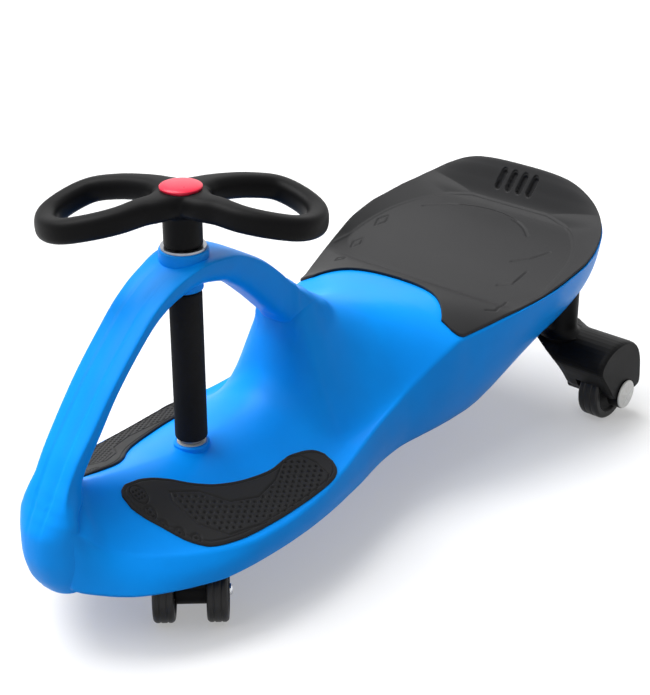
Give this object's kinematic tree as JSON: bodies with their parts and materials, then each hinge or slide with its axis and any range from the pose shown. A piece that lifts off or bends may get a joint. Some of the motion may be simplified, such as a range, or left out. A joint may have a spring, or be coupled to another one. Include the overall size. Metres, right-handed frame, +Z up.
{
  "type": "wiggle car",
  "caption": "Ride-on wiggle car: a moulded hull with bucket seat and foot deck, an arch over the steering column, a looped handlebar, caster front wheels and rear wheels on arms.",
  "frame": {"origin": "middle of the footprint on the ground", "axes": "+Z up, +Y toward the tail so that the prow faces -Y, +X toward the left hand of the rider"},
  "size_m": [0.365, 0.77, 0.3935],
  "materials": {
    "body_blue": "satin",
    "seat_charcoal": "fine grain",
    "pad_rubber": "matt",
    "black_plastic": "satin",
    "foam": "matt",
    "bush_plastic": "matt",
    "steel": "brushed",
    "bright_ring": "polished",
    "tyre": "satin",
    "red_plastic": "gloss",
    "white_plastic": "gloss"
  },
  "bodies": {
    "body": {"body_shell": "body_blue", "seat": "seat_charcoal", "seat_screws": "steel", "left_foot_pad": "pad_rubber", "right_foot_pad": "pad_rubber", "upper_bush": "bush_plastic", "lower_bush": "bush_plastic", "head_ring": "bright_ring", "left_rear_arm": "black_plastic", "right_rear_arm": "black_plastic", "rear_arm_bolts": "steel", "rear_axles": "steel", "rear_axle_nuts": "steel", "hub_caps": "white_plastic"},
    "steering": {"column_tube": "steel", "column_plug": "steel", "foam_sleeve": "foam", "handlebar": "black_plastic", "handlebar_washer": "steel", "handlebar_nut": "steel", "handlebar_cap": "red_plastic", "steering_arm": "black_plastic", "arm_pin": "steel", "front_axle": "steel", "front_axle_nuts": "bright_ring"},
    "front_left_wheel": {"front_left_hub": "black_plastic", "front_left_tyre": "tyre"},
    "front_right_wheel": {"front_right_hub": "black_plastic", "front_right_tyre": "tyre"},
    "rear_left_wheel": {"rear_left_hub": "black_plastic", "rear_left_tyre": "tyre"},
    "rear_right_wheel": {"rear_right_hub": "black_plastic", "rear_right_tyre": "tyre"}
  },
  "joints": [
    {"name": "steering_turn", "type": "hinge", "parent": "body", "child": "steering", "pos_m": [0, -0.16786, 0.2], "axis": [0, 0, 1], "continuous": true},
    {"name": "front_left_spin", "type": "hinge", "parent": "steering", "child": "front_left_wheel", "pos_m": [0.084, -0.22409, 0.03], "axis": [0.7431, 0.6691, 0], "continuous": true},
    {"name": "front_right_spin", "type": "hinge", "parent": "steering", "child": "front_right_wheel", "pos_m": [0.04714, -0.25728, 0.03], "axis": [0.7431, 0.6691, 0], "continuous": true},
    {"name": "rear_left_spin", "type": "hinge", "parent": "body", "child": "rear_left_wheel", "pos_m": [0.15, 0.34419, 0.035], "axis": [1, 0, 0], "continuous": true},
    {"name": "rear_right_spin", "type": "hinge", "parent": "body", "child": "rear_right_wheel", "pos_m": [-0.15, 0.34419, 0.035], "axis": [1, 0, 0], "continuous": true}
  ]
}
